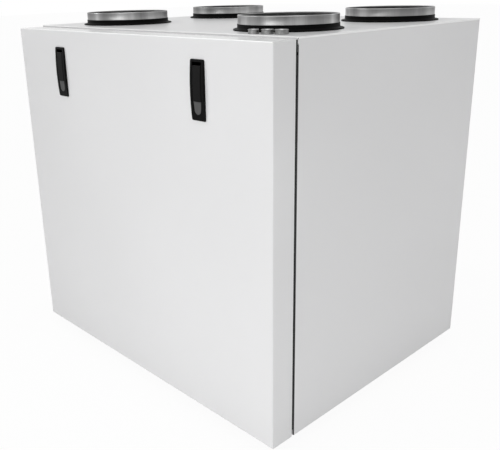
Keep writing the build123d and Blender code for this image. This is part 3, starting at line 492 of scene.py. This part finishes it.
for corner in ("front_left", "front_right", "rear_left", "rear_right"):
    low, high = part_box("spigot_" + corner)
    centre = (low + high) / 2
    radius = (high.x - low.x) / 2
    rim = high.z - centre.z
    neck = top_z + COLLAR_HEIGHT - centre.z
    foot = low.z - centre.z
    inner = radius - SPIGOT_SHEET
    sunk = radius - SPIGOT_SWAGE
    outline = [(sunk, foot), (sunk, neck), (radius - 0.0002, neck), (radius, neck + 0.0003),
               (radius - 0.0002, neck + 0.0009), (radius - 0.0002, rim - 0.0018), (radius, rim - 0.0012),
               (radius - 0.0002, rim - 0.0005), (radius - 0.0006, rim - 0.0001), (radius - 0.0011, rim),
               (inner - 0.0007, rim - 0.0002), (inner - 0.0010, rim - 0.0007), (inner - 0.0007, rim - 0.0012),
               (inner, rim - 0.0018), (inner, neck + 0.0012), (sunk - SPIGOT_SHEET, neck + 0.0004),
               (sunk - SPIGOT_SHEET, foot)]
    tube = mesh_piece("duct_spigot_" + corner,
                      lambda form: spin(form, outline, (0, 0, 0), steps=TUBE_STEPS), spigot_zinc, 50)
    # The inner faces take the paler grey of painted light.
    tube.data.materials.append(inside_painted_light)
    for face in tube.data.polygons:
        if face.center.xy.length < sunk and face.center.dot(face.normal) - face.center.z * face.normal.z < 0:
            face.material_index = 1
    tube.location = centre
    tube.rotation_euler.z = math.radians(SPIGOT_TURNS[corner])
    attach(tube, "case")
    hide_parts("spigot_" + corner)

    low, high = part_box("collar_" + corner)
    reach = (high.x - low.x) / 2
    bore = sunk + COLLAR_PLAY
    sleeve = bore + COLLAR_WALL
    outline = [(bore, top_z), (reach - 0.0004, top_z), (reach, top_z + 0.0004), (reach, top_z + 0.0013),
               (reach - 0.0004, top_z + 0.0018), (reach - 0.0014, top_z + 0.0021),
               (sleeve + 0.0018, top_z + 0.0025), (sleeve + 0.0007, top_z + 0.0031),
               (sleeve + 0.0001, top_z + 0.0042), (sleeve, top_z + 0.0052), (sleeve, high.z - 0.0006),
               (sleeve - 0.0003, high.z), (bore + 0.0002, high.z), (bore, high.z - 0.0003)]
    ring = mesh_piece("duct_collar_" + corner,
                      lambda form: spin(form, outline, (centre.x, centre.y, 0), steps=TUBE_STEPS),
                      collar_rubber, 60)
    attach(ring, "case")
    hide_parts("collar_" + corner)


# ---------------------------------------------------------------- cable glands
# Three nickel plated glands of growing size stand in a slanting row behind the door. Each is a turned bush
# with a rounded edge and a stem that ends in the control box.

nickel = banded_metal_painted_reflection("gland_nickel", 0.27, 0.36, 90, 1.4)
GLANDS = {"small": (0.2420, 0.0, 0.0081), "middle": (0.2630, 0.0065, 0.0092),
          "large": (0.2840, 0.0130, 0.0100)}     # x, how far back it stands from the first, radius
GLAND_WALL = 0.0036
GLAND_SHOULDER = 0.0019   # the stem is thinner than the head by this
low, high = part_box("cable_glands")
row_front = low.y + GLANDS["small"][2]

for size, (x, set_back, radius) in GLANDS.items():
    y = row_front + set_back
    bore = radius - GLAND_WALL
    stem = radius - GLAND_SHOULDER
    outline = [(bore, low.z), (stem, low.z), (stem, top_z), (radius - 0.0003, top_z),
               (radius, top_z + 0.0003), (radius, top_z + 0.0012), (radius - 0.0003, top_z + 0.0015),
               (radius - 0.0003, high.z - 0.0014), (radius, high.z - 0.0011), (radius, high.z - 0.0005),
               (radius - 0.0005, high.z), (radius - 0.0014, high.z), (radius - 0.0018, high.z - 0.0005),
               (bore + 0.0006, high.z - 0.0005), (bore, high.z - 0.0011)]
    bush = mesh_piece("gland_" + size, lambda form: spin(form, outline, (0, 0, 0), steps=64), nickel, 40)
    bush.location = (x, y, 0)
    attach(bush, "case")
    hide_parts("cable_glands")


# ---------------------------------------------------------------- door
# The door is a folded tray of the same painted steel with a lining sheet, filled with foam. It stands on two
# hooks that rest on rods in the case, tilts forward from its latches and then lifts off.

door_paint = powder_coat("door_powder_coat", SHELL_WHITE, 0.26)
dress(door_paint, "door_skin")
dress(zinc, "door_liner", "door_hooks", "door_rods", "latch_keepers", "latch_pins")
seal_foam = black_rubber("seal_cell_rubber", 0.004, 0.8, specular=0.03)
dress(seal_foam, "door_seal")

low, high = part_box("door_seal")
door_back_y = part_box("door_skin")[1].y
SEAL_WIDTH = 0.008
SEAL_BULGE = 0.0004
SEAL_OVERLAP = 0.016      # of the ends with the CAD's seal
SEAL_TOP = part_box("door_skin")[1].z - 0.0008


def seal_ends(form):
    """The side strips are cut square and run up past the end of the top strip."""
    for sign in (-1, 1):
        outer, inner = sign * (high.x + SEAL_BULGE), sign * (high.x - SEAL_WIDTH)
        face = side_low.y - 0.0003
        corners = [(inner, door_back_y), (outer, door_back_y), (outer, face - 0.0002),
                   (outer - sign * 0.0002, face), (inner, face)]
        lower = [form.verts.new((x, y, high.z - SEAL_OVERLAP)) for x, y in corners]
        upper = [form.verts.new((x, y, SEAL_TOP)) for x, y in corners]
        form.faces.new(lower)
        form.faces.new(upper[::-1])
        for i in range(len(corners)):
            j = (i + 1) % len(corners)
            form.faces.new((lower[i], lower[j], upper[j], upper[i]))


ends = mesh_piece("door_seal_ends", seal_ends, seal_foam)
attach(ends, "door")


# ---------------------------------------------------------------- latches
# Each latch is a black moulded housing, bowed outwards, with a lever that swings out on a steel pin and a
# scoop below it for the finger, whose sloping floor is given a paler grey: painted light.

lever_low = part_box("latch_lever_right")[0]
latch_black = moulded("latch_black", grey(0.003), 0.35, 0.00001, specular=0.06)
lever_black = moulded("lever_black", grey(0.008), 0.35, 0.00001, specular=0.06)
# The scoop's paler grey is painted light where its sloping floor catches the light.
scoop_painted_light = moulded("scoop_painted_light", grey(0.10), 0.55, 0.00002, specular=0.05)
BEZEL_CORNER = 0.005      # radius of the CAD housing's corners
BEZEL_TRIMMED = 0.0022    # and of the dressed one's
SCOOP_WIDTH = 0.0175
SCOOP_TAPER = 0.82
SCOOP_HEIGHT = 0.0190
SCOOP_PROUD = (0.0030, 0.0024)     # of the door, at the lever and at the scoop's lower end
SCOOP_SKIN = 0.0003
SCOOP_GAP = 0.0003        # below the lever
SCOOP_PLAY = 0.0002       # at each side
SCOOP_STEPS = 16
door_front_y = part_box("door_skin")[0].y


def trimmed_reach(angle):
    """How far the trimmed corner's edge is from the centre of the moulded corner."""
    straight = BEZEL_CORNER - BEZEL_TRIMMED
    if BEZEL_CORNER * math.tan(angle) <= straight:
        return BEZEL_CORNER / math.cos(angle)
    if BEZEL_CORNER <= straight * math.tan(angle):
        return BEZEL_CORNER / math.sin(angle)
    along = straight * (math.cos(angle) + math.sin(angle))
    return along + math.sqrt(along ** 2 - 2 * straight ** 2 + BEZEL_TRIMMED ** 2)


for side in ("left", "right"):
    low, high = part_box("latch_housing_" + side)
    middle = (low + high) / 2
    reach = (high - low) / 2

    def housing(form):
        """The moulded housing with its outer corners trimmed square to a small radius."""
        form.from_mesh(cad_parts["latch_housing_" + side].data)
        for vert in form.verts:
            out = abs(vert.co.x - middle.x) - (reach.x - BEZEL_CORNER)
            up = abs(vert.co.z - middle.z) - (reach.z - BEZEL_CORNER)
            if out > 1e-6 and up > 1e-6:
                share = trimmed_reach(math.atan2(up, out)) / BEZEL_CORNER - 1
                vert.co.x += math.copysign(out * share, vert.co.x - middle.x)
                vert.co.z += math.copysign(up * share, vert.co.z - middle.z)

    shell = mesh_piece("latch_bezel_" + side, housing, latch_black, 30)
    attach(shell, "door")
    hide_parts("latch_housing_" + side)
    dress(lever_black, "latch_lever_" + side)

    def scoop(form):
        """A thin tongue shaped skin on the sloping floor of the scoop, in a paler grey: painted light on that
        floor.
        """
        half_width = SCOOP_WIDTH / 2 - SCOOP_PLAY
        foot_width = half_width * SCOOP_TAPER
        edge = [(-half_width, 0.0), (half_width, 0.0)]
        for k in range(SCOOP_STEPS + 1):
            angle = math.pi * k / SCOOP_STEPS
            drop = SCOOP_HEIGHT - foot_width + foot_width * math.sin(angle)
            edge.append((foot_width * math.cos(angle), drop))
        slope = (SCOOP_PROUD[0] - SCOOP_PROUD[1]) / SCOOP_HEIGHT
        rows = []
        for lift in (0.0, SCOOP_SKIN):
            start = door_front_y - SCOOP_PROUD[0] - lift
            rows.append([form.verts.new((middle.x + x, start + slope * drop, lever_low.z - SCOOP_GAP - drop))
                         for x, drop in edge])
        count = len(edge)
        form.faces.new(rows[0])
        form.faces.new(rows[1][::-1])
        for i in range(count):
            form.faces.new((rows[0][i], rows[0][(i + 1) % count], rows[1][(i + 1) % count], rows[1][i]))

    skin = mesh_piece("latch_scoop_" + side, scoop, scoop_painted_light)
    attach(skin, "door")


# ---------------------------------------------------------------- studio
# A pale floor that keeps the shadow, a plain white surround for the camera and for reflections, soft even
# light, and a camera just above the level of the top, facing the front right corner.

FLOOR_SIZE = 40.0
CAMERA_AT = (0.9315, -0.9199, 0.7098)
CAMERA_TURN = (71.368, 1.365, 46.693)     # degrees about X, Y and Z
CAMERA_LENS = 48.13                       # millimetres, on a sensor 36 wide
CAMERA_SHIFT = (0.0559, -0.0256)
WORLD_LIGHT = 0.352
WORLD_WHITE = 1.0         # as the camera and reflections see it
FLOOR_GLOW = 0.95         # share of plain white in the floor as the camera sees it

world = bpy.data.worlds.new("studio")
bpy.context.scene.world = world
world.use_nodes = True
sky = world.node_tree
sky.nodes.clear()
rays = sky.nodes.new("ShaderNodeLightPath").outputs
seen = maths(sky, "MAXIMUM", rays["Is Camera Ray"], rays["Is Glossy Ray"])
seen = maths(sky, "MAXIMUM", seen, rays["Is Transmission Ray"])
light = node(sky, "Background", Color=grey(1), Strength=WORLD_LIGHT).outputs["Background"]
white = node(sky, "Background", Color=grey(1), Strength=WORLD_WHITE).outputs["Background"]
both = node(sky, "MixShader", Fac=seen, _1=light, _2=white)
surround = sky.nodes.new("ShaderNodeOutputWorld")
sky.links.new(both.outputs["Shader"], surround.inputs["Surface"])

floor_paint, tree, shader = new_material("floor_white", grey(0.8), 0.8, specular=0.0)
glow = node(tree, "Emission", Color=grey(1), Strength=1.0).outputs["Emission"]
rays = tree.nodes.new("ShaderNodeLightPath").outputs
share = maths(tree, "MULTIPLY", rays["Is Camera Ray"], FLOOR_GLOW)
both = node(tree, "MixShader", Fac=share, _1=shader.outputs["BSDF"], _2=glow)
tree.links.new(both.outputs["Shader"], tree.nodes["Material Output"].inputs["Surface"])


def floor_sheet(form):
    bmesh.ops.create_grid(form, x_segments=1, y_segments=1, size=FLOOR_SIZE / 2)


floor = mesh_piece("floor", floor_sheet, floor_paint)


def lamp(name, kind, energy, towards, at=(0, 0, 0), **settings):
    data = bpy.data.lights.new(name, kind)
    data.energy = energy
    for key, value in settings.items():
        setattr(data, key, value)
    made = bpy.data.objects.new(name, data)
    made.location = at
    made.rotation_euler = Vector(towards).to_track_quat("-Z", "Y").to_euler()
    bpy.context.scene.collection.objects.link(made)


lamp("front_left_high", "SUN", 0.60, (0.69, 0.45, -0.57), angle=math.radians(12))
lamp("overhead", "SUN", 0.91, (0.0, 0.0, -1.0), angle=math.radians(40))
for name, energy, towards, at, size in (
        ("front_low", 5.45, (-0.1, 1.0, 0.0), (0.45, -1.6, 0.12), (1.0, 0.4)),
        ("front_high", 3.46, (-0.1, 1.0, -0.2), (0.45, -1.6, 0.9), (1.0, 0.4)),
        ("right_low", 3.55, (-1.0, 0.0, 0.0), (1.35, 0.05, 0.08), (1.4, 0.3))):
    lamp(name, "AREA", energy, towards, at, shape="RECTANGLE", size=size[0], size_y=size[1])

lens = bpy.data.cameras.new("camera")
lens.lens = CAMERA_LENS
lens.sensor_width = 36
lens.shift_x, lens.shift_y = CAMERA_SHIFT
camera = bpy.data.objects.new("camera", lens)
camera.location = CAMERA_AT
camera.rotation_euler = [math.radians(turn) for turn in CAMERA_TURN]
bpy.context.scene.collection.objects.link(camera)
bpy.context.scene.camera = camera
bpy.context.scene.view_settings.view_transform = "Standard"
